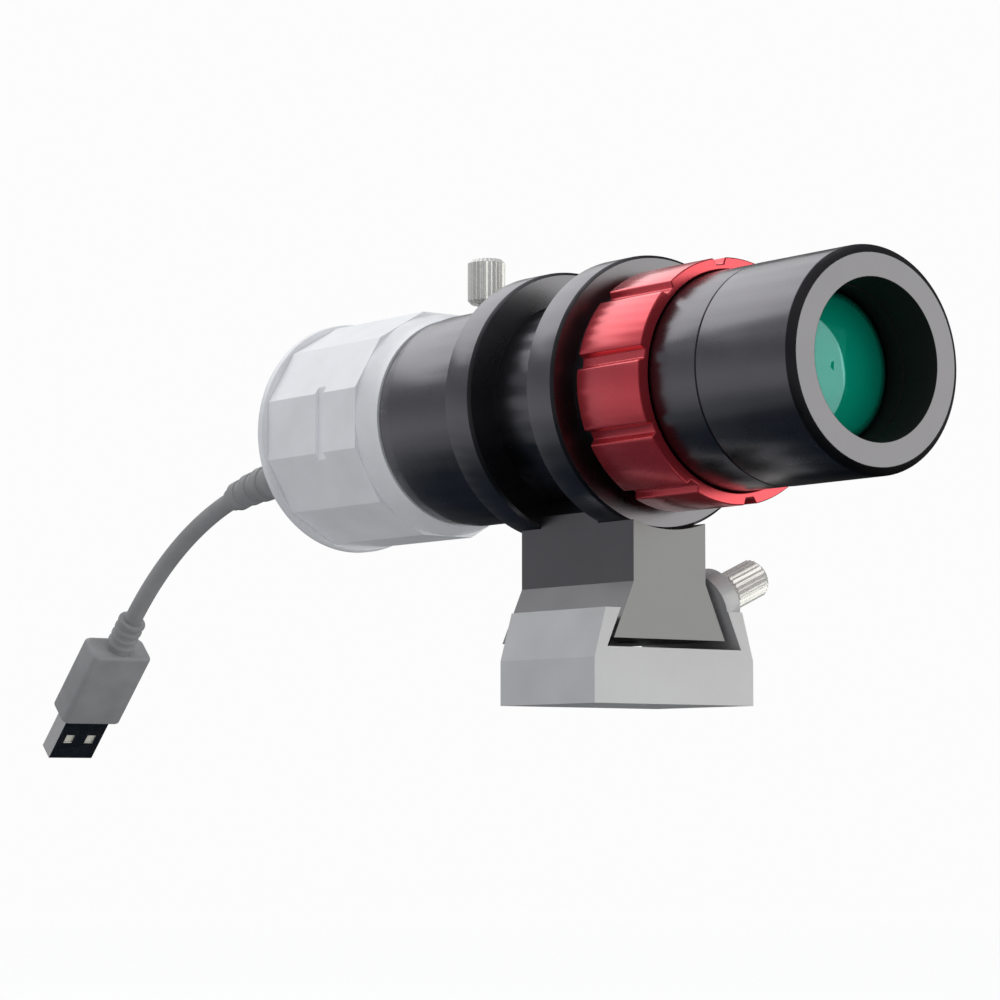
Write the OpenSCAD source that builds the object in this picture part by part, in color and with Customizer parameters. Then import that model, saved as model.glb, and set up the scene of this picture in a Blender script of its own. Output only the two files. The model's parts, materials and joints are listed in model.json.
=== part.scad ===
// Finder scope: a small helical-focus refractor with a guide camera, on a dovetail foot and a finder shoe.
// Millimetres. +X points forward along the optical axis and +Z points up.
// The origin is the centre of the shoe's bottom face, which bolts to the telescope.

/* [Objective] */
// Clear aperture of the objective lens
aperture_d = 30; // [28:0.5:30]
// Outside diameter of the objective cell and the focusing tube
cell_d = 43; // [42.6:0.1:43.4]
// Length of the objective cell from its seam to the chamfer at its mouth
cell_len = 25.2; // [24:0.2:30]
// Length of the focusing tube that shows between the lock ring and the seam
sleeve_len = 13.4; // [10:0.2:18]

/* [Main tube] */
// Height of the optical axis over the shoe's base
axis_h = 62; // [60:1:66]
// Diameter of the two flanges that carry the tube
flange_d = 54.9; // [52:0.1:56]
// Width of each flange
flange_w = 8.5; // [7:0.5:10]
// Gap between the two flanges
flange_gap = 18.7; // [17:0.1:22]
// Diameter of the tube between the flanges
mid_d = 42; // [41:0.5:44]
// X of the front flange's front face
front_flange_x = 11; // [9:0.5:12]

/* [Lock ring] */
// Diameter over the lobes of the focus lock ring
lock_ring_d = 48.2; // [47.4:0.2:50]
// Width of the lock ring along the tube
lock_ring_w = 19; // [17:0.5:21]
// Number of grip lobes
lobe_count = 10; // [8:1:12]

/* [Camera holder] */
// Nominal diameter of the camera's nosepiece
nose_d = 31.75; // [31.7:0.01:31.8]
// Outside diameter of the rear holder
holder_d = 45.2; // [44:0.2:47]
// Length of the rear holder behind the rear flange
holder_len = 31.1; // [30:0.1:36]

/* [Guide camera] */
// Diameter over the corners of the twelve-sided housing
camera_d = 50; // [49:0.5:52]
// Length of the camera behind the holder
camera_len = 42.5; // [40:0.5:50]
// Diameter of the camera's round rear cover
cover_d = 51.2; // [50.4:0.2:53]

/* [Foot and shoe] */
// Length of the dovetail foot
foot_len = 36.2; // [34:0.2:40]
// Width of the foot's neck
neck_w = 18.4; // [17:0.2:19]
// Length of the shoe
shoe_len = 30.3; // [28:0.1:36]
// Width of the shoe at its base
shoe_w = 40.4; // [39:0.2:44]
// Slope of the dovetail flanks from the vertical
flank_angle = 24; // [22:1:25]
// Distance between the shoe's two mounting holes
shoe_hole_pitch = 16; // [12:1:18]

/* [Thumbscrews] */
// Diameter of a thumbscrew's knurled head
knob_d = 8; // [7:0.5:10]
// Length of a thumbscrew's knurled head
knob_len = 9.6; // [8:0.2:12]

/* [Cable] */
// Diameter of the camera's cable
cable_d = 4.2; // [3.6:0.2:4.4]
// Slope below the horizontal at which the cable reaches its plug
cable_end_slope = 45; // [30:1:50]

/* [Hidden] */
$fn = 96;

// Gaps: between fixed neighbours, around turning and sliding fits, and past a cut surface
seat_gap = 0.05;
run_gap = 0.05;
cut = 1;

// Stations along the tube, from the origin
front_flange_rear = front_flange_x - flange_w;
rear_flange_x = front_flange_rear - flange_gap;
tube_rear = rear_flange_x - flange_w;
flange_middle = (front_flange_rear + rear_flange_x) / 2;
neck_len = 3.5;
neck_front = front_flange_x + neck_len;
ring_rear = neck_front + seat_gap;
ring_front = ring_rear + lock_ring_w;
seam_x = ring_front + sleeve_len;
chamfer_x = seam_x + cell_len;
mouth_x = chamfer_x + 1.15;
holder_rear = tube_rear - holder_len;
camera_front = holder_rear - seat_gap;
camera_rear = camera_front - camera_len;

// Radii of the tube
cell_r = cell_d / 2;
sleeve_r = cell_r - 0.05;
seam_bevel = 0.25;
flange_r = flange_d / 2;
mid_r = mid_d / 2;
neck_r = mid_r + 0.9;
tube_bore_r = 16.6;
flange_chamfer = 0.6;

// Focusing thread, M39 x 1
thread_r = 19.5;
thread_depth = 0.55;
thread_pitch = 1;
thread_bore_r = thread_r + run_gap;
focus_stop = 0;
focus_rear = focus_stop + 3;
focus_shoulder = ring_front - 5;
counterbore_x = ring_front - 8;

// Objective: a cemented pair, seated from behind against a lip
mouth_r = aperture_d / 2 + 0.3;
lip_r = aperture_d / 2;
lip_x = mouth_x - 8.85;
lens_seat_x = mouth_x - 13.1;
lens_r = 16;
front_curve_r = 73;
cement_curve_r = 53;
rear_curve_r = 180;
crown_thickness = 6;
flint_thickness = 2.6;
front_vertex = lens_seat_x + sag(front_curve_r, lip_r) - seat_gap;
cement_vertex = front_vertex - crown_thickness;
rear_vertex = cement_vertex - flint_thickness;
lens_back = rear_vertex + sag(rear_curve_r, lens_r);
cell_thread_r = 16.9;
spigot_r = 19.2;
spigot_len = 5;

// Rear holder
holder_r = holder_d / 2;
nose_r = nose_d / 2;
socket_r = nose_r + 0.025;
nose_len = 28;
nose_front = camera_front + nose_len;
rear_thread_r = 20;
rear_thread_len = 7;
light_path_r = 13;
clamp_ring_r = 17.2;
clamp_ring_front = holder_rear + 11.2;
clamp_ring_w = 5.2;
holder_screw_x = clamp_ring_front - clamp_ring_w / 2;

// Camera
facet_count = 12;
camera_r = camera_d / 2;
facet_apothem = camera_r * cos(180 / facet_count);
prism_front = camera_front - 5.5;
cover_front = camera_rear + 3.1;
cavity_r = 20.5;
front_wall_rear = camera_front - 6.8;
nose_spigot_r = 14.4;
nose_spigot_len = 3.6;
window_r = 11.5;
window_t = 1.1;
window_front = camera_front - 4.8;
board_front = front_wall_rear - 3.9;
board_t = 1.6;
board_w = 27;
board_hole_offset = 11;
cover_screw_r = (cavity_r + facet_apothem) / 2;
cover_head_recess = 1.4;

// Thumbscrews, M4
screw_r = 2;
screw_tip_r = 1.35;
tip_gap = 0.05;
tip_len = 3.5;
tip_proud = 1.15;
knob_gap = 1.9;
knob_flutes = 24;

// Foot and shoe, heights over the shoe's base
foot_front = front_flange_x + 2.6;
foot_rear = foot_front - foot_len;
foot_bottom = 12.8;
flare_top = 24;
neck_half = neck_w / 2;
saddle_shoulder_z = axis_h - 23.5;
saddle_chamfer = 3.2;
foot_screw_pitch = 11;
foot_screw_r = 2;
foot_screw_head_r = 3.5;
foot_screw_bite = 3.3;
foot_head_z = axis_h - 32;
shoe_half = shoe_w / 2;
shoe_floor = 11;
shoe_shoulder = 8.9;
shoe_top = 18.6;
shoe_top_outer = shoe_half - 2.8;
flank_gap = 1.9;
hump_r = 6.35;
hump_len = 3.7;
shoe_screw_x = shoe_len / 2 - hump_r;
shoe_screw_z = 19.5;
shoe_hole_r = 2.25;

// Cable: heading slopes are angles below the -X direction
cable_r = cable_d / 2;
cable_y = -11.5;
cable_root_z = axis_h - 8.6;
boot_r = 4.6;
boot_root_x = camera_rear - 5.6;
boot_end_slope = 15;
cable_bend_r = 100;
core_gap = 0.04;
socket_t = 6;
socket_x = board_front - board_t - 0.1 - socket_t;
bend_centre = [boot_root_x, cable_root_z - cable_bend_r];
cable_end = bend_centre + cable_bend_r * [-sin(cable_end_slope), cos(cable_end_slope)];
overmold_size = [16, 8, 22];
shell_size = [12, 4.5, 19];
shell_wall = 0.35;
shell_buried = 6;
plug_relief_len = 9;
plug_relief_r = 3.4;

// Height of a spherical surface's edge behind its vertex
function sag(curve_r, edge_r) = curve_r - sqrt(curve_r ^ 2 - edge_r ^ 2);

// Half-width of the dovetail flank at height z, with the shoe's wall standing off by gap
function flank_y(z, gap = 0) = neck_half + (flare_top - z) * tan(flank_angle) + gap / cos(flank_angle);

// Both halves of an outline that is given on the +Y side only
function both_sides(half) = concat(half, [for (i = [len(half) - 1 : -1 : 0]) [-half[i].x, half[i].y]]);

// V-thread outline as [radius, x] points, between two stations
function thread_points(r, x0, x1) = [
    for (x = [x0 : thread_pitch : x1 - thread_pitch / 2])
        each [[r - thread_depth, x], [r, x + thread_pitch / 2]]
];

// Puts the local Z axis on the optical axis, pointing forward
module on_axis() {
    translate([0, 0, axis_h]) rotate([0, 90, 0]) children();
}

// Body of revolution about the optical axis, from [radius, x] points
module turned(points) {
    on_axis() rotate_extrude() polygon(points);
}

// Round bar on the optical axis between two stations
module bar(r, x0, x1) {
    on_axis() translate([0, 0, x0]) cylinder(r = r, h = x1 - x0);
}

// Places children at equal angles about the optical axis, at radius r and station x
module around_axis(count, r, x, first = 45) {
    on_axis() for (i = [0 : count - 1])
        rotate(first + i * 360 / count) translate([r, 0, x]) children();
}

// Places children at two opposite corners of the sensor board, at station x
module board_corners(x) {
    on_axis() for (side = [-1, 1])
        translate([side * board_hole_offset, side * board_hole_offset, x]) children();
}

// Ball whose surface shapes a lens face, centred at station x on the optical axis
module lens_ball(r, x) {
    on_axis() translate([0, 0, x]) sphere(r, $fn = 360);
}

// Solid that runs the length between two stations, from a [y, z] outline
module extruded_x(x0, x1) {
    translate([x0, 0, 0]) rotate([90, 0, 90]) linear_extrude(x1 - x0) children();
}

// Local Z out along a shoe screw, from its contact on the foot's flank; side 1 is in front, -1 behind
module at_shoe_screw(side) {
    translate([side * shoe_screw_x, flank_y(shoe_screw_z), shoe_screw_z])
        rotate([flank_angle - 90, 0, 0]) children();
}

// Local Z up along the holder screw, from the clamp ring's outer surface
module at_holder_screw() {
    translate([holder_screw_x, 0, axis_h + clamp_ring_r]) children();
}

// Straight round bar on the cable's first stretch, between two stations
module cable_bar(r, x0, x1) {
    translate([x0, cable_y, cable_root_z]) rotate([0, 90, 0]) cylinder(r = r, h = x1 - x0);
}

// Round bar that follows the cable's bend between two heading slopes
module cable_bend(r, slope0, slope1) {
    translate([bend_centre.x, cable_y, bend_centre.y]) rotate([90, 0, 0]) rotate(90 + slope0)
        rotate_extrude(angle = slope1 - slope0, $fn = 720) translate([cable_bend_r, 0]) circle(r);
}

// Local Z along the plug, from the cable's end
module along_plug() {
    translate([cable_end.x, cable_y, cable_end.y]) rotate([0, -90 - cable_end_slope, 0]) children();
}

// Rectangle with round corners
module rounded_rect(w, d, r) {
    square([w - 2 * r, d], center = true);
    square([w, d - 2 * r], center = true);
    for (sx = [-1, 1], sy = [-1, 1])
        translate([sx * (w / 2 - r), sy * (d / 2 - r)]) circle(r);
}

// Knurled thumbscrew: local Z 0 is its contact point and knob_z is the bottom of its head
module thumbscrew(knob_z) {
    shank_end = tip_gap + tip_proud;
    tip_hole_end = tip_gap + tip_len + 0.15;
    collar_h = 0.9;
    neck_inset = 0.7;
    flute_r = 0.38;
    color("gainsboro") difference() {
        union() {
            translate([0, 0, shank_end]) cylinder(r = screw_r, h = knob_z - shank_end);
            translate([0, 0, knob_z]) cylinder(r = knob_d / 2 - neck_inset, h = knob_len);
            translate([0, 0, knob_z + collar_h]) cylinder(r = knob_d / 2, h = knob_len - 2 * collar_h);
        }
        cylinder(r = screw_tip_r + run_gap, h = tip_hole_end);
        for (i = [0 : knob_flutes - 1])
            rotate(i * 360 / knob_flutes) translate([knob_d / 2 + 0.1, 0, knob_z])
                cylinder(r = flute_r, h = knob_len);
    }
}

// Soft tip that a thumbscrew carries in its end
module screw_tip() {
    color("burlywood") translate([0, 0, tip_gap]) cylinder(r = screw_tip_r, h = tip_len);
}

// Socket-head screw: local Z 0 is under its head and the shank runs up
module socket_screw(r, head_r, head_h, shank_len, socket_w) {
    difference() {
        union() {
            cylinder(r = r, h = shank_len);
            translate([0, 0, -head_h]) cylinder(r = head_r, h = head_h);
        }
        translate([0, 0, -head_h - cut]) cylinder(d = socket_w / cos(30), h = head_h * 0.6 + cut, $fn = 6);
    }
}

module finder_shoe() {
    head_recess_r = 4.2;
    head_recess_z = 7.5;
    half = [
        [shoe_half, 0], [shoe_half, shoe_shoulder], [shoe_top_outer, shoe_top],
        [flank_y(shoe_top, flank_gap), shoe_top], [flank_y(shoe_floor, flank_gap), shoe_floor]
    ];
    color("darkgray") difference() {
        union() {
            extruded_x(-shoe_len / 2, shoe_len / 2) polygon(both_sides(half));
            for (side = [-1, 1]) at_shoe_screw(side)
                translate([0, 0, flank_gap]) cylinder(r = hump_r, h = hump_len);
        }
        for (side = [-1, 1]) at_shoe_screw(side) cylinder(r = screw_r + run_gap, h = 2 * hump_r);
        for (side = [-1, 1]) translate([side * shoe_hole_pitch / 2, 0, 0]) {
            translate([0, 0, -cut]) cylinder(r = shoe_hole_r, h = shoe_floor + 2 * cut);
            translate([0, 0, head_recess_z]) cylinder(r = head_recess_r, h = shoe_floor);
        }
    }
}

module shoe_thumbscrew(side) {
    at_shoe_screw(side) thumbscrew(flank_gap + hump_len + knob_gap);
}

module front_shoe_thumbscrew() {
    shoe_thumbscrew(1);
}

module rear_shoe_thumbscrew() {
    shoe_thumbscrew(-1);
}

module front_shoe_screw_tip() {
    at_shoe_screw(1) screw_tip();
}

module rear_shoe_screw_tip() {
    at_shoe_screw(-1) screw_tip();
}

module dovetail_foot() {
    half = [
        [flank_y(foot_bottom), foot_bottom], [neck_half, flare_top], [neck_half, saddle_shoulder_z],
        [neck_half - saddle_chamfer, saddle_shoulder_z + saddle_chamfer]
    ];
    color("dimgray") difference() {
        extruded_x(foot_rear, foot_front) polygon(both_sides(half));
        bar(mid_r + seat_gap, foot_rear - cut, foot_front + cut);
        bar(flange_r + seat_gap, front_flange_rear - seat_gap, foot_front + cut);
        bar(flange_r + seat_gap, foot_rear - cut, rear_flange_x + seat_gap);
        for (side = [-1, 1]) translate([flange_middle + side * foot_screw_pitch / 2, 0, 0]) {
            cylinder(r = foot_screw_r + 0.15, h = axis_h);
            cylinder(r = foot_screw_head_r + 0.25, h = foot_head_z);
        }
    }
}

module foot_screws() {
    shank_len = axis_h - mid_r + foot_screw_bite - foot_head_z;
    color("dimgray") for (side = [-1, 1])
        translate([flange_middle + side * foot_screw_pitch / 2, 0, foot_head_z - seat_gap])
            socket_screw(foot_screw_r, foot_screw_head_r, 4, shank_len, 3);
}

module main_tube() {
    c = flange_chamfer;
    baffle_seat_x = tube_rear + rear_thread_len;
    color("#26262a") difference() {
        turned([
            [rear_thread_r, tube_rear], [flange_r - c, tube_rear], [flange_r, tube_rear + c],
            [flange_r, rear_flange_x - c], [flange_r - c, rear_flange_x], [mid_r, rear_flange_x],
            [mid_r, front_flange_rear], [flange_r - c, front_flange_rear], [flange_r, front_flange_rear + c],
            [flange_r, front_flange_x - c], [flange_r - c, front_flange_x], [neck_r, front_flange_x],
            [neck_r, neck_front], [thread_bore_r, neck_front], [thread_bore_r, focus_stop],
            [tube_bore_r, focus_stop], [tube_bore_r, baffle_seat_x], [rear_thread_r, baffle_seat_x]
        ]);
        for (side = [-1, 1])
            translate([flange_middle + side * foot_screw_pitch / 2, 0, axis_h - mid_r - cut])
                cylinder(r = foot_screw_r + run_gap, h = cut + foot_screw_bite + 0.4);
    }
}

module tube_baffle() {
    seat_x = tube_rear + rear_thread_len - seat_gap;
    plate_t = 1.2;
    stop_r = 9;
    color("#141416") turned([
        [rear_thread_r - run_gap, seat_x - plate_t], [rear_thread_r - run_gap, seat_x],
        [stop_r + plate_t, seat_x], [stop_r, seat_x - plate_t]
    ]);
}

module camera_holder() {
    spigot_front = tube_rear + rear_thread_len - 1.3;
    taper_x = holder_rear + 4.7;
    socket_front = nose_front + 0.6;
    groove_front = clamp_ring_front + seat_gap;
    groove_rear = clamp_ring_front - clamp_ring_w - seat_gap;
    groove_r = clamp_ring_r + 0.1;
    front_x = tube_rear - seat_gap;
    color("#26262a") difference() {
        turned([
            [socket_r, holder_rear], [holder_r - 1, holder_rear], [holder_r - 0.6, holder_rear + 0.4],
            [holder_r, taper_x], [holder_r, front_x], [rear_thread_r - run_gap, front_x],
            [rear_thread_r - run_gap, spigot_front], [light_path_r, spigot_front],
            [light_path_r, socket_front], [socket_r, socket_front], [socket_r, groove_front],
            [groove_r, groove_front], [groove_r, groove_rear], [socket_r, groove_rear]
        ]);
        at_holder_screw() translate([0, 0, -cut]) cylinder(r = screw_r + run_gap, h = holder_r);
    }
}

module compression_ring() {
    split_angle = 14;
    color("goldenrod") on_axis() rotate(split_angle / 2) rotate_extrude(angle = 360 - split_angle)
        translate([socket_r + run_gap, clamp_ring_front - clamp_ring_w])
            square([clamp_ring_r - socket_r - run_gap, clamp_ring_w]);
}

module holder_thumbscrew() {
    at_holder_screw() thumbscrew(holder_r - clamp_ring_r + knob_gap);
}

module holder_screw_tip() {
    at_holder_screw() screw_tip();
}

module focus_lock_ring() {
    notch_floor = lock_ring_d / 2 - 1.3;
    notch_depth = 2;
    floor_half_w = 0.9;
    mouth_half_w = 1.9;
    first_notch = 9;
    color("crimson") on_axis() difference() {
        translate([0, 0, ring_rear]) linear_extrude(lock_ring_w) difference() {
            circle(d = lock_ring_d);
            for (i = [0 : lobe_count - 1])
                rotate(first_notch + i * 360 / lobe_count)
                    polygon([
                        [notch_floor, -floor_half_w], [notch_floor + notch_depth, -mouth_half_w],
                        [notch_floor + notch_depth, mouth_half_w], [notch_floor, floor_half_w]
                    ]);
        }
        translate([0, 0, ring_rear - cut]) cylinder(r = thread_bore_r, h = lock_ring_w + 2 * cut);
        translate([0, 0, counterbore_x]) cylinder(r = cell_r + 0.15, h = lock_ring_w);
    }
}

module focus_tube() {
    spigot_seat = seam_x - spigot_len - seat_gap;
    color("#222226") turned(concat(
        [[tube_bore_r, focus_rear]],
        thread_points(thread_r, focus_rear, focus_shoulder - 2),
        [
            [thread_r - thread_depth, focus_shoulder], [sleeve_r, focus_shoulder],
            [sleeve_r, seam_x - seam_bevel], [sleeve_r - seam_bevel, seam_x],
            [spigot_r + seat_gap, seam_x], [spigot_r + seat_gap, spigot_seat],
            [tube_bore_r, spigot_seat]
        ]
    ));
}

module objective_cell() {
    rear_x = seam_x + seat_gap;
    thread_bore = cell_thread_r + seat_gap;
    lens_bore = lens_r + 0.05;
    color("#222226") turned([
        [thread_bore, seam_x - spigot_len], [spigot_r, seam_x - spigot_len], [spigot_r, rear_x],
        [cell_r - seam_bevel, rear_x], [cell_r, rear_x + seam_bevel], [cell_r, chamfer_x],
        [cell_r - 1.6, mouth_x], [mouth_r, mouth_x], [mouth_r, lip_x], [lip_r, lip_x],
        [lip_r, lens_seat_x], [lens_bore, lens_seat_x], [lens_bore, lens_back], [thread_bore, lens_back]
    ]);
}

module lens_retaining_ring() {
    front_x = lens_back - seat_gap;
    ring_t = 3.2;
    clear_r = 14.6;
    color("#222226") difference() {
        turned([
            [clear_r, front_x - ring_t], [cell_thread_r, front_x - ring_t], [cell_thread_r, front_x],
            [lens_r - 0.4, front_x], [clear_r, front_x - 0.8]
        ]);
        around_axis(2, clear_r + 1.2, front_x - ring_t - cut)
            translate([-2, -0.75, 0]) cube([4, 1.5, cut + 1.2]);
    }
}

module crown_lens() {
    color("mediumseagreen", 0.5) intersection() {
        bar(lens_r, cement_vertex - cut, front_vertex + cut);
        lens_ball(front_curve_r, front_vertex - front_curve_r);
        lens_ball(cement_curve_r, cement_vertex + cement_curve_r);
    }
}

module flint_lens() {
    front_x = cement_vertex - 0.03;
    rim_x = front_x + sag(cement_curve_r, lens_r - 0.3);
    color("lightcyan", 0.5) difference() {
        intersection() {
            bar(lens_r, rear_vertex - cut, rim_x);
            lens_ball(rear_curve_r, rear_vertex + rear_curve_r);
        }
        lens_ball(cement_curve_r, front_x + cement_curve_r);
    }
}

module camera_nose() {
    filter_thread_r = 14.2;
    filter_thread_len = 3.5;
    rim = 0.5;
    color("silver") turned([
        [light_path_r, camera_front - nose_spigot_len], [nose_spigot_r, camera_front - nose_spigot_len],
        [nose_spigot_r, camera_front], [nose_r, camera_front], [nose_r, nose_front - rim],
        [nose_r - rim, nose_front], [filter_thread_r, nose_front],
        [filter_thread_r, nose_front - filter_thread_len], [light_path_r, nose_front - filter_thread_len]
    ]);
}

module camera_housing() {
    shoulder_r = holder_r - 0.3;
    window_edge_r = window_r - 1.5;
    nose_seat = camera_front - nose_spigot_len - seat_gap;
    slot_w = 3;
    slot_depth = 0.8;
    slot_x = camera_front - 19.2;
    color("gainsboro") difference() {
        union() {
            turned([
                [0, front_wall_rear], [cavity_r, front_wall_rear], [cavity_r, prism_front],
                [facet_apothem - 0.05, prism_front], [shoulder_r, camera_front - 1.2],
                [shoulder_r, camera_front - seat_gap], [0, camera_front - seat_gap]
            ]);
            on_axis() rotate(15) translate([0, 0, cover_front])
                cylinder(r = camera_r, h = prism_front - cover_front, $fn = facet_count);
        }
        bar(nose_spigot_r + run_gap, nose_seat, camera_front + cut);
        bar(window_edge_r, window_front - cut, nose_seat + cut);
        bar(window_r + seat_gap, front_wall_rear - cut, window_front);
        difference() {
            bar(cavity_r, cover_front - cut, front_wall_rear);
            board_corners(board_front) cylinder(r = 2.2, h = front_wall_rear - board_front + cut);
        }
        board_corners(board_front - cut) cylinder(r = 1 + run_gap, h = 6);
        around_axis(4, cover_screw_r, cover_front - cut) cylinder(r = 1 + run_gap, h = 8 + cut);
        translate([slot_x - slot_w / 2, -facet_apothem - cut, axis_h - camera_r / 2])
            cube([slot_w, slot_depth + cut, camera_r]);
    }
}

module camera_rear_cover() {
    edge = 1.1;
    register_len = 2;
    register_r = cavity_r - 1.2;
    mate_x = cover_front - seat_gap;
    boot_hole_r = 4.5;
    color("gainsboro") difference() {
        turned([
            [0, camera_rear], [cover_d / 2 - edge, camera_rear], [cover_d / 2, camera_rear + edge],
            [cover_d / 2, mate_x - 0.4], [cover_d / 2 - 0.4, mate_x], [cavity_r - run_gap, mate_x],
            [cavity_r - run_gap, mate_x + register_len], [register_r, mate_x + register_len],
            [register_r, mate_x], [0, mate_x]
        ]);
        cable_bar(boot_hole_r, camera_rear - cut, mate_x + cut);
        around_axis(4, cover_screw_r, camera_rear - cut) {
            cylinder(r = 1.15, h = 8);
            cylinder(r = 2, h = cut + cover_head_recess);
        }
    }
}

module cover_screws() {
    color("silver") around_axis(4, cover_screw_r, camera_rear + cover_head_recess - seat_gap)
        socket_screw(1, 1.9, 1.3, 8, 1.3);
}

module camera_window() {
    color("lightblue", 0.4) bar(window_r, window_front - window_t - seat_gap, window_front - seat_gap);
}

module window_ring() {
    front_x = window_front - window_t - 2 * seat_gap;
    rear_x = front_wall_rear + seat_gap;
    color("#303034") turned([
        [window_r - 1.6, rear_x], [window_r, rear_x], [window_r, front_x], [window_r - 1.6, front_x]
    ]);
}

module sensor_board() {
    chip_w = 9;
    chip_t = 1.1;
    color("darkgreen") difference() {
        on_axis() translate([0, 0, board_front - board_t - seat_gap]) {
            linear_extrude(board_t) rounded_rect(board_w, board_w, 2);
            translate([3, 3, -chip_t]) linear_extrude(chip_t) square(chip_w, center = true);
        }
        board_corners(board_front - board_t - cut) cylinder(r = 1.15, h = board_t + 2 * cut);
    }
}

module image_sensor() {
    package = [11, 9.5, 1.6];
    color("darkslategray") on_axis() translate([0, 0, board_front])
        linear_extrude(package.z) rounded_rect(package.x, package.y, 0.4);
}

module board_screws() {
    color("silver") board_corners(board_front - board_t - 2 * seat_gap) socket_screw(1, 1.9, 1.2, 5.2, 1.3);
}

module cable_socket() {
    color("ivory") translate([socket_x, cable_y, cable_root_z]) rotate([0, 90, 0]) difference() {
        linear_extrude(socket_t) rounded_rect(6, 6, 0.5);
        translate([0, 0, -cut]) cylinder(r = cable_r + seat_gap, h = socket_t - 1);
    }
}

module cable_boot() {
    hole_r = cable_r + seat_gap;
    inside_x = cover_front + seat_gap;
    rib_count = 5;
    rib_slope = boot_end_slope / rib_count;
    rib_step = 0.3;
    groove_depth = 0.7;
    lap = 0.05;
    color("dimgray") difference() {
        union() {
            cable_bar(boot_r - 0.2, camera_rear - cut, inside_x + 1);
            cable_bar(boot_r + 0.25, inside_x, inside_x + 1.4);
            cable_bar(boot_r + 0.3, boot_root_x, camera_rear - seat_gap);
            for (i = [0 : rib_count - 1]) {
                rib_r = boot_r - rib_step * i;
                cable_bend(rib_r, (i - lap) * rib_slope, (i + 0.55) * rib_slope);
                cable_bend(rib_r - groove_depth, (i + 0.5) * rib_slope, (i + 1 + lap) * rib_slope);
            }
        }
        cable_bar(hole_r + core_gap, boot_root_x - 1, inside_x + 2);
        cable_bend(hole_r, 0, boot_end_slope + 2);
    }
}

module camera_cable() {
    core_r = cable_r - core_gap;
    color("#3a3a3e") {
        cable_bar(core_r, boot_root_x - 1, socket_x + 3.5);
        cable_bend(cable_r, 0, cable_end_slope);
        along_plug() translate([0, 0, -1]) cylinder(r = core_r, h = plug_relief_len + 9);
    }
}

module plug_overmold() {
    rib_w = 1.1;
    color("#2c2c30") along_plug() difference() {
        union() {
            cylinder(r = plug_relief_r - 0.5, h = plug_relief_len);
            for (i = [0 : 3]) translate([0, 0, i * 2 * rib_w]) cylinder(r = plug_relief_r, h = rib_w);
            translate([0, 0, plug_relief_len]) linear_extrude(overmold_size.z)
                rounded_rect(overmold_size.y, overmold_size.x, 1.6);
        }
        translate([0, 0, -cut]) cylinder(r = cable_r + seat_gap, h = plug_relief_len + 9);
        translate([0, 0, plug_relief_len + overmold_size.z - shell_buried])
            linear_extrude(shell_buried + cut)
                square([shell_size.y + 2 * seat_gap, shell_size.x + 2 * seat_gap], center = true);
    }
}

module plug_shell() {
    window = [2.2, 2.5];
    color("silver") along_plug()
        translate([0, 0, plug_relief_len + overmold_size.z - shell_buried + seat_gap]) difference() {
            linear_extrude(shell_size.z) difference() {
                square([shell_size.y, shell_size.x], center = true);
                square([shell_size.y, shell_size.x] - 2 * [shell_wall, shell_wall], center = true);
            }
            for (side = [-1, 1]) translate([0, side * 2.9, shell_size.z - 6.5])
                cube([shell_size.y + cut, window.x, window.y], center = true);
        }
}

module plug_tongue() {
    tongue_t = 1.8;
    inset = shell_wall + seat_gap;
    tongue_w = shell_size.x - 2 * inset;
    tongue_z = plug_relief_len + overmold_size.z - shell_buried + 2 * seat_gap;
    color("ivory") along_plug() translate([inset - shell_size.y / 2, -tongue_w / 2, tongue_z])
        cube([tongue_t, tongue_w, shell_size.z - 1]);
}

finder_shoe();
front_shoe_thumbscrew();
front_shoe_screw_tip();
rear_shoe_thumbscrew();
rear_shoe_screw_tip();
dovetail_foot();
foot_screws();
main_tube();
tube_baffle();
camera_holder();
compression_ring();
holder_thumbscrew();
holder_screw_tip();
focus_lock_ring();
focus_tube();
objective_cell();
lens_retaining_ring();
crown_lens();
flint_lens();
camera_nose();
camera_housing();
camera_rear_cover();
cover_screws();
camera_window();
window_ring();
sensor_board();
image_sensor();
board_screws();
cable_socket();
cable_boot();
camera_cable();
plug_overmold();
plug_shell();
plug_tongue();
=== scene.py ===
"""Looks of the finder scope: finishes, soft and turned pieces, studio and camera.

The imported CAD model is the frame. Everything is in metres, +X forward along the optical axis, +Z up.
"""

import json
import math

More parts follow.
